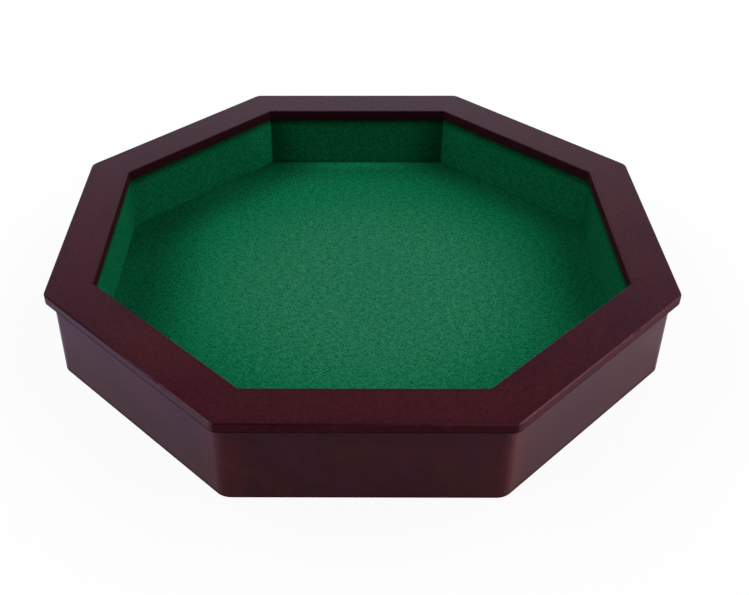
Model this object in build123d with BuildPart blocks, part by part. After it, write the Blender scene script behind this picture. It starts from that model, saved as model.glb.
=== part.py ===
from build123d import *
import os
from math import cos, radians, tan

# An octagonal dice tray. Eight mitred wall boards stand on the table, eight flat mitred rim boards
# lie on top of them, a base panel is let into a rabbet of the walls from below, and the floor and
# the inside of the walls are lined with felt. The origin is on the table under the middle of the
# tray, +Z is up and the front of the tray faces -Y. All sizes are in millimetres.

# The sides, anticlockwise from +X
side_names = ["right", "back_right", "back", "back_left", "left", "front_left", "front", "front_right"]
side_count = len(side_names)
side_angle = 360 / side_count

# Whole tray
rim_across = 305.0  # across the outer flats of the rim
tray_height = 47.3

# Wall boards
wall_thickness = 16.0
wall_corner_radius = 9.0  # outer upright corners
foot_round = 0.6  # outer bottom edge

# Rim boards
rim_thickness = 5.6
rim_overhang = 3.6  # how far the rim stands out past the walls
rim_lip = 0.8  # how far the rim stands in past the face of the wall felt
rim_corner_radius = 6.0  # outer corners, seen from above
rim_top_round = 0.8  # outer top edge
rim_under_round = 1.2  # outer lower edge
rim_inner_round = 0.4  # top edge beside the well

# Base panel
base_thickness = 6.0
base_recess = 2.5  # how far the panel is set up from the table
rabbet_depth = 6.0  # how deep the panel reaches into the walls
panel_gap = 0.3  # between the panel's edge and the rabbet

# Felt
felt_thickness = 2.0
felt_bend_radius = 5.0  # face of the wall felt where it turns a corner
felt_gap = 0.3  # round the edges of both felts
seam_gap = 0.4  # between the two butted ends of the wall felt
seam_angle = 247.5  # the corner where they meet, between the front and its left neighbour

# Splines in the wall mitres
spline_thickness = 3.0
spline_width = 10.0  # across the joint
spline_stop = 4.0  # wood left between the rabbet and a spline's groove
spline_gap = 0.1

# Headless pins through the rim into the walls, set below the lacquer
pin_diameter = 1.2
pin_length = 19.0
pin_cover = 1.0  # filler over each pin
pin_spacing = 70.0

# Headed brads through the base panel into the walls
brad_diameter = 1.2
brad_head_diameter = 2.6
brad_head_thickness = 0.6
brad_length = 16.0
brad_spacing = 60.0
fixing_gap = 0.05  # round every pin and brad

# Distances from the middle of the tray to its flats, and heights above the table
rim_apothem = rim_across / 2
wall_apothem = rim_apothem - rim_overhang
wall_inner_apothem = wall_apothem - wall_thickness
wall_middle_apothem = wall_apothem - wall_thickness / 2
felt_face_apothem = wall_inner_apothem - felt_thickness
rim_opening_apothem = felt_face_apothem - rim_lip
rabbet_apothem = wall_inner_apothem + rabbet_depth
brad_apothem = wall_inner_apothem + rabbet_depth / 2
spline_centre = wall_middle_apothem / cos(radians(side_angle / 2))
felt_corner = wall_inner_apothem / cos(radians(side_angle / 2))

wall_height = tray_height - rim_thickness
rabbet_height = base_recess + base_thickness
felt_floor_height = rabbet_height + felt_thickness
groove_bottom = rabbet_height + spline_stop
pin_bottom = tray_height - pin_cover - pin_length


def octagon(apothem, mode=Mode.ADD):
    # An octagon with one flat towards each side of the tray
    RegularPolygon(apothem, side_count, major_radius=False, rotation=side_angle / 2, mode=mode)


def fixing_circles(sides, apothem, spacing, radius):
    # Two circles on each side, spaced evenly about its middle
    with PolarLocations(apothem, sides):
        with GridLocations(0, spacing, 1, 2):
            Circle(radius)


def spline_slots(mitres, gap):
    # One rectangle across each mitre, beginning with the one clockwise of the +X side
    turn = mitres * side_angle
    with PolarLocations(spline_centre, mitres, start_angle=-side_angle / 2, angular_range=turn):
        Rectangle(spline_thickness + 2 * gap, spline_width + 2 * gap)


def cut_mitres():
    # Keeps what lies between the two mitre planes of the +X side
    reach = rim_across
    half_width = reach * tan(radians(side_angle / 2))
    with BuildSketch() as wedge:
        Polygon((0, 0), (reach, -half_width), (reach, half_width), align=None)
    extrude(wedge.sketch, amount=2 * tray_height, both=True, mode=Mode.INTERSECT)


os.makedirs("parts", exist_ok=True)

# One wall board, made as the +X side
with BuildPart() as wall_board:
    with BuildSketch() as wall_plan:
        octagon(wall_apothem)
        fillet(wall_plan.vertices(), wall_corner_radius)
        octagon(wall_inner_apothem, mode=Mode.SUBTRACT)
    extrude(amount=wall_height)
    fillet(wall_board.faces().sort_by(Axis.Z)[0].outer_wire().edges(), foot_round)
    cut_mitres()
    with BuildSketch():
        octagon(rabbet_apothem)
    extrude(amount=rabbet_height, mode=Mode.SUBTRACT)
    with BuildSketch(Plane.XY.offset(groove_bottom)):
        spline_slots(2, spline_gap)
    extrude(amount=wall_height - groove_bottom, mode=Mode.SUBTRACT)
    with BuildSketch(Plane.XY.offset(pin_bottom - fixing_gap)):
        fixing_circles(1, wall_middle_apothem, pin_spacing, pin_diameter / 2 + fixing_gap)
    extrude(amount=wall_height - pin_bottom + fixing_gap, mode=Mode.SUBTRACT)
    with BuildSketch(Plane.XY.offset(rabbet_height)):
        fixing_circles(1, brad_apothem, brad_spacing, brad_diameter / 2 + fixing_gap)
    extrude(amount=base_recess + brad_length + fixing_gap - rabbet_height, mode=Mode.SUBTRACT)

# One rim board, made as the +X side
with BuildPart() as rim_board:
    with BuildSketch(Plane.XY.offset(wall_height)) as rim_plan:
        octagon(rim_apothem)
        fillet(rim_plan.vertices(), rim_corner_radius)
        octagon(rim_opening_apothem, mode=Mode.SUBTRACT)
    extrude(amount=rim_thickness)
    fillet(rim_board.faces().sort_by(Axis.Z)[-1].outer_wire().edges(), rim_top_round)
    fillet(rim_board.faces().sort_by(Axis.Z)[0].outer_wire().edges(), rim_under_round)
    fillet(rim_board.faces().sort_by(Axis.Z)[-1].inner_wires().edges(), rim_inner_round)
    cut_mitres()
    with BuildSketch(Plane.XY.offset(wall_height)):
        fixing_circles(1, wall_middle_apothem, pin_spacing, pin_diameter / 2 + fixing_gap)
    extrude(amount=rim_thickness - pin_cover + fixing_gap, mode=Mode.SUBTRACT)

# The boards of all sides, turned about the middle of the tray
for kind, board in (("wall", wall_board), ("rim", rim_board)):
    for index, side_name in enumerate(side_names):
        with BuildPart() as turned_board:
            add(board.part, rotation=(0, 0, index * side_angle))
        name = f"{kind}_{side_name}"
        turned_board.part.label = name
        export_step(turned_board.part, f"parts/{name}.step")

# Base panel, set up from the table in the rabbet of the walls
with BuildPart() as base_panel:
    with BuildSketch(Plane.XY.offset(base_recess)):
        octagon(rabbet_apothem - panel_gap)
    extrude(amount=base_thickness)
    with BuildSketch(Plane.XY.offset(base_recess)):
        fixing_circles(side_count, brad_apothem, brad_spacing, brad_diameter / 2 + fixing_gap)
    extrude(amount=base_thickness, mode=Mode.SUBTRACT)
    with BuildSketch(Plane.XY.offset(base_recess)):
        fixing_circles(side_count, brad_apothem, brad_spacing, brad_head_diameter / 2 + fixing_gap)
    extrude(amount=brad_head_thickness + fixing_gap, mode=Mode.SUBTRACT)
base_panel.part.label = "base_panel"
export_step(base_panel.part, "parts/base_panel.step")

# Floor felt, one sheet glued to the base panel
with BuildPart() as floor_felt:
    with BuildSketch(Plane.XY.offset(rabbet_height)):
        octagon(wall_inner_apothem - felt_gap)
    extrude(amount=felt_thickness)
floor_felt.part.label = "floor_felt"
export_step(floor_felt.part, "parts/floor_felt.step")

# Wall felt, one strip round the well with its two ends butted in a corner
with BuildPart() as wall_felt:
    strip_height = wall_height - felt_gap - felt_floor_height
    with BuildSketch(Plane.XY.offset(felt_floor_height)) as felt_back:
        octagon(wall_inner_apothem)
        fillet(felt_back.vertices(), felt_bend_radius + felt_thickness)
    extrude(amount=strip_height)
    with BuildSketch(Plane.XY.offset(felt_floor_height)) as felt_face:
        octagon(felt_face_apothem)
        fillet(felt_face.vertices(), felt_bend_radius)
    extrude(amount=strip_height, mode=Mode.SUBTRACT)
    with BuildSketch(Plane.XY.offset(felt_floor_height)):
        with PolarLocations(felt_corner, 1, start_angle=seam_angle):
            Rectangle(4 * felt_bend_radius, seam_gap)
    extrude(amount=strip_height, mode=Mode.SUBTRACT)
wall_felt.part.label = "wall_felt"
export_step(wall_felt.part, "parts/wall_felt.step")

# Splines, one hidden in each wall mitre
with BuildPart() as corner_splines:
    with BuildSketch(Plane.XY.offset(groove_bottom + spline_gap)):
        spline_slots(side_count, 0)
    extrude(amount=wall_height - groove_bottom - 2 * spline_gap)
corner_splines.part.label = "corner_splines"
export_step(corner_splines.part, "parts/corner_splines.step")

# Pins that hold the rim to the walls
with BuildPart() as rim_pins:
    with BuildSketch(Plane.XY.offset(pin_bottom)):
        fixing_circles(side_count, wall_middle_apothem, pin_spacing, pin_diameter / 2)
    extrude(amount=pin_length)
rim_pins.part.label = "rim_pins"
export_step(rim_pins.part, "parts/rim_pins.step")

# Brads that hold the base panel to the walls, heads flush with its underside
with BuildPart() as base_brads:
    with BuildSketch(Plane.XY.offset(base_recess)):
        fixing_circles(side_count, brad_apothem, brad_spacing, brad_head_diameter / 2)
    extrude(amount=brad_head_thickness)
    with BuildSketch(Plane.XY.offset(base_recess)):
        fixing_circles(side_count, brad_apothem, brad_spacing, brad_diameter / 2)
    extrude(amount=brad_length)
base_brads.part.label = "base_brads"
export_step(base_brads.part, "parts/base_brads.step")
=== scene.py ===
import math

import bpy
from mathutils import Matrix, Vector


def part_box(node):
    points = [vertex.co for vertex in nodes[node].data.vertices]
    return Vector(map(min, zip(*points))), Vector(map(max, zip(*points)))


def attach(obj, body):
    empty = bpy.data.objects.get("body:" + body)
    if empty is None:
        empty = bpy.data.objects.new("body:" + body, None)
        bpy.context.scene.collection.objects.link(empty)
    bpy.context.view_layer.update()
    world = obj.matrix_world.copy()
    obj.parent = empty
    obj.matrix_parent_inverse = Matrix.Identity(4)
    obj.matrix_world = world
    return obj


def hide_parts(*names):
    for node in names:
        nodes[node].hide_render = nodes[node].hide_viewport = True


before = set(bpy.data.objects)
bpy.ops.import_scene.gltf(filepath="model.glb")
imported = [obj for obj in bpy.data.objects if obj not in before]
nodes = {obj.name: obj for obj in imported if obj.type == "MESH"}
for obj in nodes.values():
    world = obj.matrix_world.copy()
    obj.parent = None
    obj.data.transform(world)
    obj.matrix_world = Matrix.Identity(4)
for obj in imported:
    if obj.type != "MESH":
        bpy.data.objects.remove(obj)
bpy.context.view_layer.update()  # boards, panel, felts, splines, pins and brads come in at their real size
mm = 0.001

# the sides of the tray, anticlockwise from +X, as the boards are named
sideNames = ["right", "back_right", "back", "back_left", "left", "front_left", "front", "front_right"]
sideAngle = 2 * math.pi / len(sideNames)
halfAngle = sideAngle / 2

# distances from the middle to the flats and heights over the table, read from the boards and felts
rimInner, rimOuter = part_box("rim_right")[0].x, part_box("rim_right")[1].x
rimUnder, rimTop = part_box("rim_right")[0].z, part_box("rim_right")[1].z
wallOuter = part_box("wall_right")[1].x
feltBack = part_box("wall_felt")[1].x
feltFoot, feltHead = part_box("wall_felt")[0].z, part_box("wall_felt")[1].z
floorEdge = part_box("floor_felt")[1].x
floorUnder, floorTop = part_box("floor_felt")[0].z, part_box("floor_felt")[1].z
boardHalf = feltBack * math.tan(halfAngle)  # half the length of a wall board behind the felt
print("frame loaded:", len(nodes), "nodes, rim", round(2 * rimOuter / mm, 1), "mm across")


# small helpers for meshes

def deselectAll():
    bpy.ops.object.select_all(action="DESELECT")
    bpy.context.view_layer.objects.active = None


def giveThickness(piece, thickness):
    solid = piece.modifiers.new("thickness", "SOLIDIFY")
    solid.thickness = thickness
    solid.offset = -1
    bpy.ops.object.modifier_apply(modifier=solid.name)


def softenCloth(piece, sizes, isFace):
    # slight waves on the side that shows, which isFace picks by place, and soft cut edges
    face = piece.vertex_groups.new(name="face")
    face.add([v.index for v in piece.data.vertices if isFace(v.co)], 1.0, "REPLACE")
    clouds = bpy.data.textures.new(piece.name + "_waves", "CLOUDS")
    clouds.noise_scale = sizes["waveSize"]
    clouds.noise_depth = 2
    waves = piece.modifiers.new("waves", "DISPLACE")
    waves.texture = clouds
    waves.texture_coords = "LOCAL"
    waves.strength = sizes["waves"]
    waves.mid_level = 0.5
    waves.vertex_group = face.name
    edges = piece.modifiers.new("soft edge", "BEVEL")
    edges.width = sizes["edgeRound"]
    edges.segments = 2
    edges.limit_method = "ANGLE"
    edges.angle_limit = math.radians(sizes["edgeAngle"])
    for modifier in (waves, edges):
        bpy.ops.object.modifier_apply(modifier=modifier.name)
    piece.vertex_groups.clear()  # only the waves needed it
    bpy.ops.object.shade_smooth_by_angle(angle=math.radians(sizes["smoothAngle"]))


def mapCloth(piece, flatPlace):
    # a UV map whose unit is the metre, so that the fibres keep their real size
    layer = piece.data.uv_layers.new(name="cloth")
    for face in piece.data.polygons:
        for loop in face.loop_indices:
            corner = piece.data.vertices[piece.data.loops[loop].vertex_index].co
            layer.data[loop].uv = flatPlace(corner, face.center)


# small helpers for materials

def grey(level):
    return (level, level, level, 1)


def addNode(tree, kind, inputs=None, **settings):
    made = tree.nodes.new(kind)
    for setting, value in settings.items():
        setattr(made, setting, value)
    for socket, value in (inputs or {}).items():
        if isinstance(value, bpy.types.NodeSocket):
            tree.links.new(value, made.inputs[socket])
        else:
            made.inputs[socket].default_value = value
    return made


def mixColour(tree, share, first, second, how="MIX"):
    made = addNode(tree, "ShaderNodeMix", {0: share, 6: first, 7: second}, data_type="RGBA", blend_type=how)
    return made.outputs[2]


def multiplied(tree, first, second):
    return mixColour(tree, 1.0, first, second, how="MULTIPLY")


def mathNode(tree, operation, first, second=0.0):
    return addNode(tree, "ShaderNodeMath", {0: first, 1: second}, operation=operation).outputs[0]


def times(tree, first, second):
    return mathNode(tree, "MULTIPLY", first, second)


def plus(tree, first, second):
    return mathNode(tree, "ADD", first, second)


def fadeBetween(tree, value, start, end):
    # 0 at start and 1 at end, smooth in between, either way round
    made = addNode(tree, "ShaderNodeMapRange", {"Value": value, "From Min": start, "From Max": end},
                   interpolation_type="SMOOTHSTEP")
    return made.outputs[0]


def bandAt(tree, value, edge, reach):
    # a fade whose start and end are measured from an edge
    return fadeBetween(tree, value, edge + reach[0], edge + reach[1])


def objectPlace(tree):
    return addNode(tree, "ShaderNodeTexCoord").outputs["Object"]


def clothPlace(tree):
    return addNode(tree, "ShaderNodeUVMap", uv_map="cloth").outputs[0]


def separated(tree, place):
    return addNode(tree, "ShaderNodeSeparateXYZ", {"Vector": place}).outputs


def lengthOf(tree, place):
    return addNode(tree, "ShaderNodeVectorMath", {0: place}, operation="LENGTH").outputs["Value"]


def stretchedNoise(tree, place, cells, turn=0.0, detail=2.0, rough=0.5):
    # noise with its own count of cells per metre along each axis
    mapped = addNode(tree, "ShaderNodeMapping", {"Vector": place, "Rotation": (0, 0, turn), "Scale": cells})
    made = addNode(tree, "ShaderNodeTexNoise",
                   {"Vector": mapped.outputs[0], "Scale": 1.0, "Detail": detail, "Roughness": rough})
    return made.outputs["Fac"]


def evenNoise(tree, place, cells, **settings):
    return stretchedNoise(tree, place, (cells, cells, cells), **settings)


def bumpOf(tree, height, distance, strength=1.0):
    made = addNode(tree, "ShaderNodeBump", {"Height": height, "Distance": distance, "Strength": strength})
    return made.outputs[0]


def newMaterial(name):
    material = bpy.data.materials.new(name)
    material.use_nodes = True
    material.node_tree.nodes.clear()
    return material, material.node_tree


def finishSurface(tree, inputs):
    shader = addNode(tree, "ShaderNodeBsdfPrincipled", inputs)
    addNode(tree, "ShaderNodeOutputMaterial", {"Surface": shader.outputs[0]})


# lacquer of the rim and the walls, one material for each side so that the grain follows its boards and each
# side carries its own painted highlights and shade

lacquer = {
    "colour": (0.0530, 0.0058, 0.0124, 1),
    "deepColour": (0.0400, 0.0044, 0.0110, 1),  # where the lacquer lies thicker
    "plumColour": (0.0510, 0.0064, 0.0170, 1),
    "brownColour": (0.0520, 0.0088, 0.0086, 1),
    "sawnColour": (0.0480, 0.0022, 0.0010, 1),  # the rim's matt outer edges
    "sawnDeepColour": (0.0230, 0.0008, 0.0008, 1),
    "arrisHighlightColour": (0.1350, 0.0600, 0.0670, 1),  # painted highlight on the upper arrises
    "redHighlightColour": (0.1000, 0.0080, 0.0060, 1),  # painted red highlight at the tray's corners and on some outer edges
    "arrisShadeColour": (0.0140, 0.0010, 0.0018, 1),  # painted shade on the arrises
    # the rim's sawn inner edge, darkened with painted shade
    "innerEdgeShadeColour": (0.0072, 0.0034, 0.0014, 1),
    # painted shadow along the foot of the rim's inner edge
    "lipShadowColour": (0.001, 0.001, 0.001, 1),

    # how much of a colour each side takes; a pair is for its clockwise and its anticlockwise end
    # painted highlight on the upper arrises, set for each side and end as the light falls
    "arrisHighlightShares": {"front": (0.0, 0.25), "front_left": (-0.3, 0.8), "front_right": (0.9, 0.6),
                   "other": (0.06, 0.06)},
    # painted shade on the upper arrises, set for each side and end
    "topArrisShadeShares": {"front": (1.0, 0.1), "front_left": (0.8, 0.0), "other": (0.0, 0.0)},
    # painted red highlight on the wall boards near the tray's upright corners
    "cornerHighlightShares": {"front": (0.3, 0.12), "front_left": (0.12, 0.3), "front_right": (0.45, 0.0),
                     "other": (0.1, 0.1)},
    "outerEdgeHighlightShares": {"front_right": 0.62, "other": 0.0},  # painted red highlight over the rim's whole outer edge
    # painted shade under the rim's outer arris, set for each side
    "arrisShadeShares": {"front": 0.9, "front_left": 0.45, "front_right": 0.8, "other": 0.5},
    "mattEdges": {"front": 1.0, "front_right": 0.5, "other": 0.1},  # how matt the rim's outer edge is

    # where a change begins and where it is full, measured from an edge of the rim board
    "rimSeam": (-0.09 * mm, 0.09 * mm),  # upwards from its lower side
    "lipShadow": (1.17 * mm, 0.54 * mm),
    "underArris": (1.89 * mm, 0.99 * mm),
    "belowTop": (-0.09 * mm, -0.72 * mm),  # upwards from its top
    "nearTop": (-0.90 * mm, -0.18 * mm),
    "outerEdge": (-1.35 * mm, -0.27 * mm),  # outwards from its outer flat
    "outerArris": (-0.90 * mm, -0.18 * mm),
    "outerBorder": (-6.0 * mm, 0.0),
    "innerEdge": (0.45 * mm, 0.09 * mm),  # outwards from its inner flat
    "innerArris": (0.54 * mm, 0.09 * mm),
    "innerBorder": (3.6 * mm, 0.0),
    "borderShare": 0.7,  # of the deep colour, along the edges of the rim's top
    "corner": (45 * mm, 60 * mm),  # along a wall board, from its middle

    # cells per metre of each noise; three are across, along and up the board
    "grainCells": (620.0, 30.0, 620.0),
    "poreCells": (1500.0, 260.0, 1500.0),
    "sawnCells": (600.0, 170.0, 620.0),
    "mottleCells": 620.0,
    "peelCells": 420.0,
    "cloudCells": 17.0,
    "rimDriftCells": 10.0,  # the slow change between brown and plum
    "wallDriftCells": 42.0,

    # between which values of a noise one colour turns into the other
    "toneFade": (0.36, 0.64),
    "brownFade": (0.52, 0.66),
    "plumFade": (0.48, 0.34),
    "sawnFade": (0.35, 0.65),
    "poreFade": (0.42, 0.30),
    "mottleFade": (0.35, 0.65),
    "cloudShare": 0.7,  # of the tone, and the rest is grain
    "rimDriftShare": 0.45,
    "rimMottle": 0.16,
    "wallMottle": 0.03,

    "roughness": 0.2,
    "cloudRoughness": 0.08,
    "edgeRoughness": 0.85,  # of a sawn edge that takes the lacquer unevenly
    "gloss": 0.15,  # specular level of a thin film over a dark stain
    "refraction": 1.45,
    "peelHeight": 0.02 * mm,
    "grainRelief": 0.5,  # against the film's own unevenness
    "sawnRelief": 3.0,
}


def bodyColour(tree, place, grain, clouds, onRim):
    # clouds of a deeper colour, drifting slowly between brown and plum
    cloudShare = lacquer["cloudShare"]
    tone = plus(tree, times(tree, clouds, cloudShare), times(tree, grain, 1 - cloudShare))
    tone = fadeBetween(tree, tone, *lacquer["toneFade"])
    toned = mixColour(tree, tone, lacquer["deepColour"], lacquer["colour"])
    rimDrift = evenNoise(tree, place, lacquer["rimDriftCells"], turn=1.0, detail=2.0)
    wallDrift = evenNoise(tree, place, lacquer["wallDriftCells"], turn=2.2, detail=3.0, rough=0.6)
    drift = mixColour(tree, onRim, wallDrift, rimDrift)
    share = mathNode(tree, "SUBTRACT", 1.0, times(tree, onRim, 1 - lacquer["rimDriftShare"]))
    browned = times(tree, fadeBetween(tree, drift, *lacquer["brownFade"]), share)
    plummed = times(tree, fadeBetween(tree, drift, *lacquer["plumFade"]), share)
    toned = mixColour(tree, browned, toned, lacquer["brownColour"])
    return mixColour(tree, plummed, toned, lacquer["plumColour"])


def mottling(tree, place, onRim):
    # fine light and dark specks, fainter on the walls
    rimMottle = lacquer["rimMottle"]
    specks = evenNoise(tree, place, lacquer["mottleCells"], detail=2.0, rough=0.7)
    specks = fadeBetween(tree, specks, *lacquer["mottleFade"])
    mottled = mixColour(tree, specks, grey(1 - rimMottle), grey(1 + rimMottle))
    wallShare = lacquer["wallMottle"] / rimMottle
    share = plus(tree, times(tree, onRim, 1 - wallShare), wallShare)
    return mixColour(tree, share, grey(1), mottled)


def lacquerFor(sideName, turn):
    material, tree = newMaterial("lacquer_" + sideName)
    place = objectPlace(tree)
    turned = addNode(tree, "ShaderNodeMapping", {"Vector": place, "Rotation": (0, 0, -turn)}).outputs[0]
    parts = separated(tree, turned)
    outwards, along, upwards = parts["X"], parts["Y"], parts["Z"]
    onRim = bandAt(tree, upwards, rimUnder, lacquer["rimSeam"])
    cornerEnd = lacquer["corner"][1]
    towardsEnd = fadeBetween(tree, along, -cornerEnd, cornerEnd)

    def ofSide(shares):
        return shares.get(sideName, shares["other"])

    def betweenEnds(ends, where):
        # the share of one end of the board passes slowly into that of the other
        share = plus(tree, times(tree, towardsEnd, ends[1] - ends[0]), ends[0])
        return times(tree, mathNode(tree, "MAXIMUM", share, 0.0), where)

    # the clouds run on over the mitres, the grain turns with the board
    clouds = evenNoise(tree, place, lacquer["cloudCells"], detail=3.0, rough=0.55)
    grain = stretchedNoise(tree, turned, lacquer["grainCells"], detail=4.0, rough=0.6)
    coloured = bodyColour(tree, place, grain, clouds, onRim)
    # painted red highlight on the wall boards near the tray's upright corners
    corner = fadeBetween(tree, mathNode(tree, "ABSOLUTE", along), *lacquer["corner"])
    corner = times(tree, corner, mathNode(tree, "SUBTRACT", 1.0, onRim))
    redHighlight = betweenEnds(ofSide(lacquer["cornerHighlightShares"]), corner)
    coloured = mixColour(tree, redHighlight, coloured, lacquer["redHighlightColour"])

    # the sawn edges of the rim board, outside and beside the well
    outerEdge = bandAt(tree, outwards, rimOuter, lacquer["outerEdge"])
    innerEdge = bandAt(tree, outwards, rimInner, lacquer["innerEdge"])
    below = times(tree, onRim, bandAt(tree, upwards, rimTop, lacquer["belowTop"]))
    innerEdge = times(tree, innerEdge, below)
    outerMatt = times(tree, times(tree, outerEdge, ofSide(lacquer["mattEdges"])), below)
    edge = mathNode(tree, "MAXIMUM", outerMatt, innerEdge)
    sawn = stretchedNoise(tree, turned, lacquer["sawnCells"], detail=3.0, rough=0.6)
    sawnTone = fadeBetween(tree, sawn, *lacquer["sawnFade"])
    sawnColour = mixColour(tree, sawnTone, lacquer["sawnDeepColour"], lacquer["sawnColour"])
    coloured = mixColour(tree, edge, coloured, sawnColour)
    # painted red highlight along the rim's outer edge
    redHighlight = times(tree, times(tree, outerEdge, onRim), ofSide(lacquer["outerEdgeHighlightShares"]))
    coloured = mixColour(tree, redHighlight, coloured, lacquer["redHighlightColour"])
    # painted shade on the rim's sawn inner edge, and a painted shadow at its foot
    coloured = mixColour(tree, innerEdge, coloured, lacquer["innerEdgeShadeColour"])
    lipShadow = times(tree, innerEdge, bandAt(tree, upwards, rimUnder, lacquer["lipShadow"]))
    coloured = mixColour(tree, lipShadow, coloured, lacquer["lipShadowColour"])

    # the rim's top, deeper in colour near both its edges
    border = mathNode(tree, "MAXIMUM",
                      bandAt(tree, outwards, rimOuter, lacquer["outerBorder"]),
                      bandAt(tree, outwards, rimInner, lacquer["innerBorder"]))
    border = times(tree, times(tree, border, onRim), lacquer["borderShare"])
    coloured = mixColour(tree, border, coloured, lacquer["deepColour"])

    # the arrises, with a painted highlight or painted shade above and painted shade below
    atEdge = mathNode(tree, "MAXIMUM",
                      bandAt(tree, outwards, rimOuter, lacquer["outerArris"]),
                      bandAt(tree, outwards, rimInner, lacquer["innerArris"]))
    topArris = times(tree, bandAt(tree, upwards, rimTop, lacquer["nearTop"]), atEdge)
    arrisHighlighted = betweenEnds(ofSide(lacquer["arrisHighlightShares"]), topArris)
    coloured = mixColour(tree, arrisHighlighted, coloured, lacquer["arrisHighlightColour"])
    topArrisShaded = betweenEnds(ofSide(lacquer["topArrisShadeShares"]), topArris)
    coloured = mixColour(tree, topArrisShaded, coloured, lacquer["arrisShadeColour"])
    # painted shade along the rim's lower outer arris
    underArris = times(tree, bandAt(tree, upwards, rimUnder, lacquer["underArris"]), onRim)
    underArris = times(tree, underArris, outerEdge)
    arrisShade = times(tree, underArris, ofSide(lacquer["arrisShadeShares"]))
    coloured = mixColour(tree, arrisShade, coloured, lacquer["arrisShadeColour"])

    pores = stretchedNoise(tree, turned, lacquer["poreCells"], detail=2.0, rough=0.6)
    pores = fadeBetween(tree, pores, *lacquer["poreFade"])
    coloured = mixColour(tree, pores, coloured, lacquer["deepColour"])
    coloured = multiplied(tree, coloured, mottling(tree, place, onRim))

    peel = evenNoise(tree, turned, lacquer["peelCells"], detail=1.0)
    relief = plus(tree, peel, times(tree, grain, lacquer["grainRelief"]))
    relief = plus(tree, relief, times(tree, times(tree, sawn, edge), lacquer["sawnRelief"]))
    matt = plus(tree, times(tree, clouds, lacquer["cloudRoughness"]),
                lacquer["roughness"] - lacquer["cloudRoughness"] / 2)
    dulled = mathNode(tree, "MAXIMUM", edge, underArris)
    matt = plus(tree, matt, times(tree, dulled, lacquer["edgeRoughness"] - lacquer["roughness"]))
    finishSurface(tree, {
        "Base Color": coloured, "Roughness": matt, "Normal": bumpOf(tree, relief, lacquer["peelHeight"]),
        "IOR": lacquer["refraction"], "Specular IOR Level": lacquer["gloss"]})
    return material


for index, sideName in enumerate(sideNames):
    material = lacquerFor(sideName, index * sideAngle)
    for kind in ("wall_", "rim_"):
        nodes[kind + sideName].material_slots[0].material = material
print("lacquer on", 2 * len(sideNames), "boards")


# felt of the floor and the walls, with its fibres laid over a UV map in metres

felt = {
    "floorColour": (0.0035, 0.126, 0.050, 1),
    "litPatchColour": (0.0142, 0.151, 0.071, 1),  # painted light: the middle of the floor is paler, where both lamps reach
    "litPatchMiddle": (0.007, -0.005, 0.0),
    "litPatch": (0.112, 0.040),  # metres from its middle where the paleness begins and is full
    "footShadows": {  # painted shadow at the foot of a wall: share of black, and the metres from the middle it grows over
        "left": (0.22, 0.078, 0.105),
        "right": (0.12, 0.085, 0.115),
        "back_left": (0.29, 0.093, 0.123),
        "back_right": (0.20, 0.106, 0.130),
    },
    "paleFoot": 1.65,  # brightness along the middle of the back wall's foot, which catches the light
    "paleFootReach": (0.119, 0.1285),  # metres from the tray's middle, backwards
    "paleFootWidth": (0.062, 0.0124),  # and to each side

    "wallColour": (0.0035, 0.139, 0.054, 1),
    "rightShade": 0.76,  # painted shade: brightness of the right wall's felt, which gets less light
    "rightFace": (-2.6 * mm, -2.2 * mm),  # outwards from the back of its felt
    "cornerShades": {  # painted light and shade: brightness of a wall's felt at its clockwise and its anticlockwise corner
        "back": (0.60, 0.66),
        "back_left": (1.50, 0.97),
        "back_right": (0.95, 1.12),
        "left": (0.84, 1.18),
        "right": (1.12, 0.74),
    },
    "cornerReach": 26 * mm,
    "underLip": 0.30,  # painted shade: brightness right under the rim
    "underLipReach": 6 * mm,

    "darkShare": (0.24, 0.65, 0.54, 1),  # a dark fibre against the colour round it
    "paleShare": (2.20, 1.49, 1.66, 1),
    "fibreCells": (760.0, 1300.0, 1.0),  # per metre, along and across the fibres
    "fibreTurns": (0.35, 1.5, 2.65),
    "tuftCells": (270.0, 459.0, 1.0),
    "tufts": 0.12,
    "contrast": 0.034,
    "roughness": 0.95,
    "gloss": 0.0,
    "sheen": 0.008,
    "sheenRoughness": 0.5,
    "sheenTint": (0.75, 1.0, 0.85, 1),
    "napHeight": 0.18 * mm,
}


def floorShades(tree):
    # painted light and shade on the floor felt: a paler middle, shadows at the feet of the walls and light
    # along the back wall's foot
    flat = objectPlace(tree)
    parts = separated(tree, flat)
    # painted light: a paler patch in the middle of the floor
    level = addNode(tree, "ShaderNodeMapping", {"Vector": flat, "Scale": (1, 1, 0)}).outputs[0]
    fromMiddle = addNode(tree, "ShaderNodeVectorMath", {0: level, 1: felt["litPatchMiddle"]},
                         operation="SUBTRACT").outputs[0]
    litPatch = fadeBetween(tree, lengthOf(tree, fromMiddle), *felt["litPatch"])
    coloured = mixColour(tree, litPatch, felt["floorColour"], felt["litPatchColour"])
    # painted shadows at the feet of the walls
    for sideName, (black, start, end) in felt["footShadows"].items():
        turn = sideNames.index(sideName) * sideAngle
        outwards = (math.cos(turn), math.sin(turn), 0)
        towards = addNode(tree, "ShaderNodeVectorMath", {0: flat, 1: outwards}, operation="DOT_PRODUCT")
        nearFoot = fadeBetween(tree, towards.outputs["Value"], start, end)
        coloured = mixColour(tree, times(tree, nearFoot, black), coloured, grey(0))
    nearBack = fadeBetween(tree, parts["Y"], *felt["paleFootReach"])
    midway = fadeBetween(tree, mathNode(tree, "ABSOLUTE", parts["X"]), *felt["paleFootWidth"])
    lifted = multiplied(tree, coloured, grey(felt["paleFoot"]))
    return mixColour(tree, times(tree, nearBack, midway), coloured, lifted)


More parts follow.
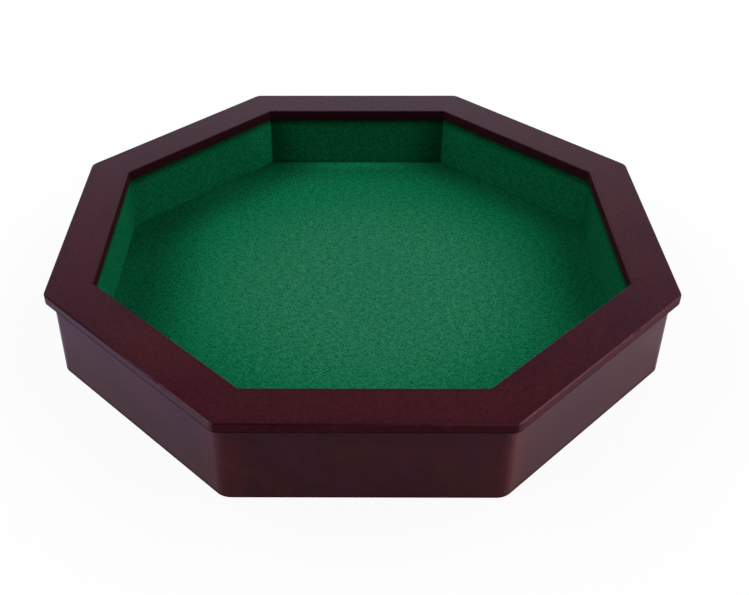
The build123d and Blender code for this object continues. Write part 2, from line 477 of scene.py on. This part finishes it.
def wallShades(tree):
    # painted light and shade on the wall felt: a darker right wall, lighter or darker corners, and shade
    # under the rim
    parts = separated(tree, objectPlace(tree))
    # painted shade on the right wall
    onRight = bandAt(tree, parts["X"], feltBack, felt["rightFace"])
    shaded = multiplied(tree, felt["wallColour"], grey(felt["rightShade"]))
    coloured = mixColour(tree, onRight, felt["wallColour"], shaded)
    along = separated(tree, clothPlace(tree))["X"]
    # painted light and shade near the corners of each wall
    for sideName, ends in felt["cornerShades"].items():
        fromMiddle = mathNode(tree, "SUBTRACT", along, 2 * boardHalf * sideNames.index(sideName))
        onBoard = mathNode(tree, "LESS_THAN", mathNode(tree, "ABSOLUTE", fromMiddle), boardHalf)
        for end, bright in zip((-1, 1), ends):
            near = fadeBetween(tree, fromMiddle, end * (boardHalf - felt["cornerReach"]), end * boardHalf)
            lifted = multiplied(tree, coloured, grey(bright))
            coloured = mixColour(tree, times(tree, near, onBoard), coloured, lifted)
    # painted shade right under the rim
    underRim = fadeBetween(tree, parts["Z"], feltHead - felt["underLipReach"], feltHead)
    return multiplied(tree, coloured, mixColour(tree, underRim, grey(1), grey(felt["underLip"])))


def feltMaterial(name, shades):
    # shades gives the colour under the fibres, with its painted light and shade
    material, tree = newMaterial(name)
    place = clothPlace(tree)
    fibres = 0.0
    for turn in felt["fibreTurns"]:
        layer = stretchedNoise(tree, place, felt["fibreCells"], turn=turn, detail=4.0, rough=0.9)
        fibres = plus(tree, fibres, layer)
    fibres = mathNode(tree, "DIVIDE", fibres, float(len(felt["fibreTurns"])))
    tufts = stretchedNoise(tree, place, felt["tuftCells"], detail=2.0, rough=0.6)
    fibres = plus(tree, fibres, times(tree, mathNode(tree, "SUBTRACT", tufts, 0.5), felt["tufts"]))
    tone = fadeBetween(tree, fibres, 0.5 - felt["contrast"], 0.5 + felt["contrast"])
    share = mixColour(tree, tone, felt["darkShare"], felt["paleShare"])
    finishSurface(tree, {
        "Base Color": multiplied(tree, shades(tree), share), "Roughness": felt["roughness"],
        "Normal": bumpOf(tree, fibres, felt["napHeight"]), "Specular IOR Level": felt["gloss"],
        "Sheen Weight": felt["sheen"], "Sheen Roughness": felt["sheenRoughness"],
        "Sheen Tint": felt["sheenTint"]})
    return material


# floor felt: one octagonal sheet, laid on the base panel

floorFeltSizes = {
    "cell": 2.2 * mm,  # spacing of the mesh
    "waves": 0.12 * mm,
    "waveSize": 22 * mm,
    "waveShare": 0.99,  # of the way to the edge, where the waves stop
    "edgeRound": 0.5 * mm,
    "edgeAngle": 40,  # degrees between faces from which an edge is rounded
    "smoothAngle": 40,  # and up to which the shading runs on
}


def makeFloorFelt():
    sizes = floorFeltSizes
    cells = round(2 * floorEdge / sizes["cell"])
    deselectAll()
    bpy.ops.mesh.primitive_grid_add(x_subdivisions=cells, y_subdivisions=cells, size=2 * floorEdge,
                                    location=(0, 0, floorTop))
    piece = bpy.context.object
    piece.name = "floor_felt_cloth"
    bpy.ops.object.transform_apply(location=True, rotation=True, scale=True)
    bpy.ops.object.mode_set(mode="EDIT")
    for diagonal in range(4):  # cuts the four corners off the square
        turn = sideAngle * (2 * diagonal + 1)
        outwards = Vector((math.cos(turn), math.sin(turn), 0))
        bpy.ops.mesh.select_all(action="SELECT")
        bpy.ops.mesh.bisect(plane_co=outwards * floorEdge, plane_no=outwards, clear_outer=True)
    bpy.ops.object.mode_set(mode="OBJECT")
    giveThickness(piece, floorTop - floorUnder)

    def isFace(co):
        return co.z > (floorUnder + floorTop) / 2 and co.xy.length < floorEdge * sizes["waveShare"]

    softenCloth(piece, sizes, isFace)
    mapCloth(piece, lambda co, middle: (co.x, co.y))
    piece.data.materials.append(feltMaterial("green_felt_floor", floorShades))
    return piece


floorFelt = makeFloorFelt()
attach(floorFelt, "root")
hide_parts("floor_felt")
print("floor felt:", len(floorFelt.data.polygons), "faces")


# wall felt: one strip round the well, its two ends butted in the corner left of the front

wallFeltSizes = {
    "thickness": 2 * mm,
    "bendRadius": 1.5 * mm,  # of the face where it turns a corner
    "bendSteps": 5,  # an odd number, so that the seam has a step of its own
    "cell": 2.6 * mm,
    "rows": 12,
    "seamCorner": 5,  # counted anticlockwise from the one between right and back_right
    "seamAim": 0.001,  # radians that the seam's step may lie off the corner
    "waves": 0.16 * mm,
    "waveSize": 18 * mm,
    "waveBorder": 1 * mm,  # kept free of waves at the foot and the head
    "edgeRound": 0.45 * mm,
    "edgeAngle": 50,
    "smoothAngle": 40,
}


def wallFeltPlace(co, middle):
    # unrolls the strip: round the well along U, up the wall along V
    side = round(math.atan2(middle.y, middle.x) / sideAngle)
    turn = side * sideAngle
    along = co.y * math.cos(turn) - co.x * math.sin(turn)
    return (side % len(sideNames)) * 2 * boardHalf + along, co.z


def selectEdges(piece, wanted):
    # leaves the piece in edit mode, with the edges selected whose two ends pass the test
    bpy.ops.object.mode_set(mode="EDIT")
    bpy.ops.mesh.select_all(action="DESELECT")
    bpy.ops.mesh.select_mode(type="EDGE")
    bpy.ops.object.mode_set(mode="OBJECT")
    places = piece.data.vertices
    for edge in piece.data.edges:
        first, second = edge.vertices
        edge.select = wanted(places[first].co, places[second].co)
    bpy.ops.object.mode_set(mode="EDIT")


def makeWallFelt():
    sizes = wallFeltSizes
    face = feltBack - sizes["thickness"]
    faceHalf = face * math.tan(halfAngle)
    deselectAll()
    bpy.ops.mesh.primitive_circle_add(vertices=len(sideNames), radius=face / math.cos(halfAngle),
                                      fill_type="NOTHING", location=(0, 0, feltFoot),
                                      rotation=(0, 0, halfAngle))
    piece = bpy.context.object
    piece.name = "wall_felt_cloth"
    bpy.ops.object.transform_apply(location=True, rotation=True, scale=True)
    bpy.ops.object.mode_set(mode="EDIT")
    bpy.ops.mesh.select_all(action="SELECT")
    bpy.ops.mesh.bevel(offset_type="OFFSET", offset=sizes["bendRadius"] * math.tan(halfAngle),
                       segments=sizes["bendSteps"], affect="VERTICES", profile=0.5)
    bpy.ops.object.mode_set(mode="OBJECT")

    # the ring is opened at the seam, its straight stretches are divided, and it is drawn up the wall
    seamTurn = halfAngle + sizes["seamCorner"] * sideAngle
    seam = Vector((math.cos(seamTurn), math.sin(seamTurn)))
    selectEdges(piece, lambda a, b: (a + b).xy.angle(seam) < sizes["seamAim"])
    bpy.ops.mesh.delete(type="EDGE")
    bpy.ops.object.mode_set(mode="OBJECT")
    selectEdges(piece, lambda a, b: (a - b).length > faceHalf)
    bpy.ops.mesh.subdivide(number_cuts=round(2 * faceHalf / sizes["cell"]))
    bpy.ops.mesh.select_all(action="SELECT")
    step = (feltHead - feltFoot) / sizes["rows"]
    for row in range(sizes["rows"]):
        bpy.ops.mesh.extrude_region_move(TRANSFORM_OT_translate={"value": (0, 0, step)})
    bpy.ops.mesh.select_all(action="SELECT")
    bpy.ops.mesh.normals_make_consistent(inside=True)
    bpy.ops.object.mode_set(mode="OBJECT")
    inward = sum(1 for f in piece.data.polygons if f.normal.xy.dot(f.center.xy) < 0)
    if inward * 2 < len(piece.data.polygons):
        piece.data.flip_normals()
    giveThickness(piece, sizes["thickness"])

    def isFace(co):
        turn = round(math.atan2(co.y, co.x) / sideAngle) * sideAngle
        outwards = co.x * math.cos(turn) + co.y * math.sin(turn)
        between = feltFoot + sizes["waveBorder"] < co.z < feltHead - sizes["waveBorder"]
        return between and outwards < face + sizes["thickness"] / 2

    softenCloth(piece, sizes, isFace)
    mapCloth(piece, wallFeltPlace)
    piece.data.materials.append(feltMaterial("green_felt_walls", wallShades))
    return piece


wallFelt = makeWallFelt()
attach(wallFelt, "root")
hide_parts("wall_felt")


# base panel, of fibreboard

fibreboard = {
    "colour": (0.070, 0.036, 0.020, 1),
    "fibreColour": (0.120, 0.068, 0.038, 1),
    "fleckCells": 700.0,
    "cloudCells": 30.0,
    "fleckShare": 0.7,  # of the tone, and the rest is clouds
    "toneFade": (0.4, 0.65),
    "roughness": 0.7,
    "gloss": 0.3,
    "relief": 0.1 * mm,
    "reliefShare": 0.6,
}


def fibreboardMaterial():
    material, tree = newMaterial("fibreboard")
    place = objectPlace(tree)
    flecks = evenNoise(tree, place, fibreboard["fleckCells"], detail=5.0, rough=0.7)
    clouds = evenNoise(tree, place, fibreboard["cloudCells"], detail=2.0)
    fleckShare = fibreboard["fleckShare"]
    tone = plus(tree, times(tree, flecks, fleckShare), times(tree, clouds, 1 - fleckShare))
    tone = fadeBetween(tree, tone, *fibreboard["toneFade"])
    finishSurface(tree, {
        "Base Color": mixColour(tree, tone, fibreboard["colour"], fibreboard["fibreColour"]),
        "Roughness": fibreboard["roughness"], "Specular IOR Level": fibreboard["gloss"],
        "Normal": bumpOf(tree, flecks, fibreboard["relief"], fibreboard["reliefShare"])})
    return material


# pins and brads, of steel wire

steel = {
    "dullColour": (0.42, 0.41, 0.40, 1),
    "brightColour": (0.58, 0.57, 0.55, 1),
    "cells": 900.0,
    "roughness": 0.25,
    "unevenness": 0.25,  # roughness that the brightest spots have besides
}


def steelMaterial():
    material, tree = newMaterial("fixing_steel")
    spots = evenNoise(tree, objectPlace(tree), steel["cells"], detail=3.0)
    finishSurface(tree, {
        "Base Color": mixColour(tree, spots, steel["dullColour"], steel["brightColour"]), "Metallic": 1.0,
        "Roughness": plus(tree, times(tree, spots, steel["unevenness"]), steel["roughness"])})
    return material


# splines, of bare hardwood with upright grain

hardwood = {
    "grainColour": (0.30, 0.16, 0.075, 1),
    "colour": (0.46, 0.28, 0.14, 1),
    "grainCells": (900.0, 900.0, 40.0),
    "grainFade": (0.35, 0.65),
    "roughness": 0.6,
    "relief": 0.1 * mm,
    "reliefShare": 0.5,
}


def hardwoodMaterial():
    material, tree = newMaterial("spline_hardwood")
    grain = stretchedNoise(tree, objectPlace(tree), hardwood["grainCells"], detail=4.0, rough=0.6)
    tone = fadeBetween(tree, grain, *hardwood["grainFade"])
    finishSurface(tree, {
        "Base Color": mixColour(tree, tone, hardwood["grainColour"], hardwood["colour"]),
        "Roughness": hardwood["roughness"],
        "Normal": bumpOf(tree, grain, hardwood["relief"], hardwood["reliefShare"])})
    return material


nodes["base_panel"].material_slots[0].material = fibreboardMaterial()
fixingSteel = steelMaterial()
for name in ("rim_pins", "base_brads"):
    nodes[name].material_slots[0].material = fixingSteel
nodes["corner_splines"].material_slots[0].material = hardwoodMaterial()
print("base panel, splines, pins and brads finished")


# floor, surroundings and lamps

studio = {
    "floorSize": 12.0,
    "floorColour": grey(0.9),
    "floorGlow": 0.93,  # share of plain white in what the camera and the gloss see near the tray
    "glow": (0.17, 0.29),  # metres from the middle over which the floor turns to plain white
    "floorMirrors": {  # painted reflection: the table as the lacquer mirrors it, near the foot of the tray and away from it
        "left": ((0.44, 0.46, 0.54, 1), (0.58, 0.60, 0.88, 1)),
        "front": ((0.36, 0.50, 0.45, 1), (0.29, 0.54, 0.56, 1)),
        "right": ((0.46, 0.47, 0.50, 1), (0.72, 0.67, 0.77, 1)),
    },
    "mirrorAway": (4 * mm, 25 * mm),  # from the walls
    "mirrorDark": (0.06, 0.07, 0.09, 1),  # painted shade in the mirrored table, far off and right at the foot, there as a painted contact shadow
    "mirrorFar": (90 * mm, 200 * mm),
    "mirrorFootShadow": (1.4 * mm, 0.2 * mm),
    "mirrorAside": (0.055, 0.100),  # metres to each side, where the front's colour gives way
    "skyMirror": (0.70, 0.88, 1.0, 1),  # the surroundings over the table likewise, cool
    "skyline": (  # sine of the height over the horizon, and brightness
        (0.0, 0.10), (0.345, 0.14), (0.380, 1.60), (0.436, 1.60), (0.460, 0.60), (0.488, 0.50),
        (0.52, 0.88), (0.56, 0.64), (0.61, 0.45), (0.68, 0.20), (1.0, 0.15)),
    "ambient": 0.012,
    "lamps": {  # degrees round from the front, degrees up, metres away, watts, length and width
        "left": (-95, 47, 1.2, 10.2, 1.5, 0.55),
        "right": (96, 46, 1.2, 12.4, 1.4, 0.9),
        "low_left": (-84, 0.85, 1.8, 14.0, 2.4, 0.036),
        "low_right": (82, 0.85, 1.8, 24.0, 2.4, 0.036),
    },
}


def seenDirectly(tree):
    # 1 for rays that show the surroundings to the camera, straight, in gloss or through glass
    path = addNode(tree, "ShaderNodeLightPath").outputs
    seen = plus(tree, path["Is Camera Ray"], path["Is Glossy Ray"])
    return mathNode(tree, "MINIMUM", plus(tree, seen, path["Is Transmission Ray"]), 1.0)


def whiteOrMirrored(tree, mirrored):
    # plain white for the camera, and a colour of its own in gloss
    direct = addNode(tree, "ShaderNodeLightPath").outputs["Is Camera Ray"]
    return mixColour(tree, direct, mirrored, grey(1))


def floorMirror(tree):
    # painted reflection of the table: one colour towards the left, one before the front and one towards the
    # right
    parts = separated(tree, objectPlace(tree))
    across = parts["X"]
    aside, ahead = mathNode(tree, "ABSOLUTE", across), mathNode(tree, "ABSOLUTE", parts["Y"])
    slanting = times(tree, plus(tree, aside, ahead), math.cos(sideAngle))
    fromMiddle = mathNode(tree, "MAXIMUM", mathNode(tree, "MAXIMUM", aside, ahead), slanting)
    away = bandAt(tree, fromMiddle, wallOuter, studio["mirrorAway"])
    seen = {}
    for place, (near, far) in studio["floorMirrors"].items():
        seen[place] = mixColour(tree, away, near, far)
    start, end = studio["mirrorAside"]
    mirrored = mixColour(tree, fadeBetween(tree, across, -start, -end), seen["front"], seen["left"])
    mirrored = mixColour(tree, fadeBetween(tree, across, start, end), mirrored, seen["right"])
    # painted shade in the mirrored table, far off and at the foot
    for reach in (studio["mirrorFar"], studio["mirrorFootShadow"]):
        dark = bandAt(tree, fromMiddle, wallOuter, reach)
        mirrored = mixColour(tree, dark, mirrored, studio["mirrorDark"])
    return mirrored


def makeFloor():
    deselectAll()
    bpy.ops.mesh.primitive_plane_add(size=studio["floorSize"])
    floor = bpy.context.object
    floor.name = "studio_floor"
    material, tree = newMaterial("studio_paper")
    paper = addNode(tree, "ShaderNodeBsdfDiffuse", {"Color": studio["floorColour"]}).outputs[0]
    seen = whiteOrMirrored(tree, floorMirror(tree))
    glow = addNode(tree, "ShaderNodeEmission", {"Color": seen, "Strength": 1.0}).outputs[0]
    away = fadeBetween(tree, lengthOf(tree, objectPlace(tree)), *studio["glow"])
    white = plus(tree, times(tree, away, 1 - studio["floorGlow"]), studio["floorGlow"])
    share = times(tree, seenDirectly(tree), white)
    mixed = addNode(tree, "ShaderNodeMixShader", {0: share, 1: paper, 2: glow}).outputs[0]
    addNode(tree, "ShaderNodeOutputMaterial", {"Surface": mixed})
    floor.data.materials.append(material)


def makeWorld():
    world = bpy.data.worlds.new("studio")
    bpy.context.scene.world = world
    world.use_nodes = True
    tree = world.node_tree
    tree.nodes.clear()
    direction = addNode(tree, "ShaderNodeTexCoord").outputs["Generated"]
    ramp = addNode(tree, "ShaderNodeValToRGB", {"Fac": separated(tree, direction)["Z"]})
    stops = ramp.color_ramp.elements
    while len(stops) < len(studio["skyline"]):
        stops.new(0.5)
    for stop, (place, bright) in zip(stops, studio["skyline"]):
        stop.position = place
        stop.color = grey(bright)
    seen = whiteOrMirrored(tree, multiplied(tree, ramp.outputs[0], studio["skyMirror"]))
    shown = addNode(tree, "ShaderNodeBackground", {"Color": seen, "Strength": 1.0}).outputs[0]
    light = {"Color": grey(1), "Strength": studio["ambient"]}
    fill = addNode(tree, "ShaderNodeBackground", light).outputs[0]
    mixed = addNode(tree, "ShaderNodeMixShader", {0: seenDirectly(tree), 1: fill, 2: shown}).outputs[0]
    addNode(tree, "ShaderNodeOutputWorld", {"Surface": mixed})


def makeLamp(name, aside, rise, distance, power, length, width):
    data = bpy.data.lights.new(name, "AREA")
    data.shape = "RECTANGLE"
    data.size, data.size_y = length, width
    data.energy = power
    lamp = bpy.data.objects.new(name, data)
    bpy.context.collection.objects.link(lamp)
    away = Vector((math.cos(rise) * math.sin(aside), -math.cos(rise) * math.cos(aside), math.sin(rise)))
    lamp.location = away * distance
    lamp.rotation_euler = away.to_track_quat("Z", "Y").to_euler()
    lamp.visible_camera = False
    lamp.visible_glossy = False  # the arrises mirror the surroundings, not the lamps


makeFloor()
makeWorld()
for place, (aside, rise, distance, power, length, width) in studio["lamps"].items():
    makeLamp("soft_lamp_" + place, math.radians(aside), math.radians(rise), distance, power, length, width)
print("studio ready")


# camera, at the photograph's viewing angle

photoCamera = {
    "place": (-0.01010, -0.47110, 0.34771),
    "lookDown": 36.181,  # degrees
    "lookAside": 0.457,
    "lean": -0.218,
    "lens": 51.099,  # millimetres, as is the sensor
    "sensor": 36,
    "shift": (0.05416, -0.00798),
    "nearest": 0.01,  # metres
}

cameraData = bpy.data.cameras.new("photo_camera")
cameraData.lens = photoCamera["lens"]
cameraData.sensor_width = photoCamera["sensor"]
cameraData.shift_x, cameraData.shift_y = photoCamera["shift"]
cameraData.clip_start = photoCamera["nearest"]
camera = bpy.data.objects.new("photo_camera", cameraData)
bpy.context.collection.objects.link(camera)
camera.location = photoCamera["place"]
aim = Matrix.Rotation(math.radians(photoCamera["lookAside"]), 3, "Z")
aim = aim @ Matrix.Rotation(math.radians(90 - photoCamera["lookDown"]), 3, "X")
aim = aim @ Matrix.Rotation(math.radians(photoCamera["lean"]), 3, "Z")
camera.rotation_euler = aim.to_euler()
bpy.context.scene.camera = camera
bpy.context.scene.view_settings.view_transform = "Standard"
print("camera set")
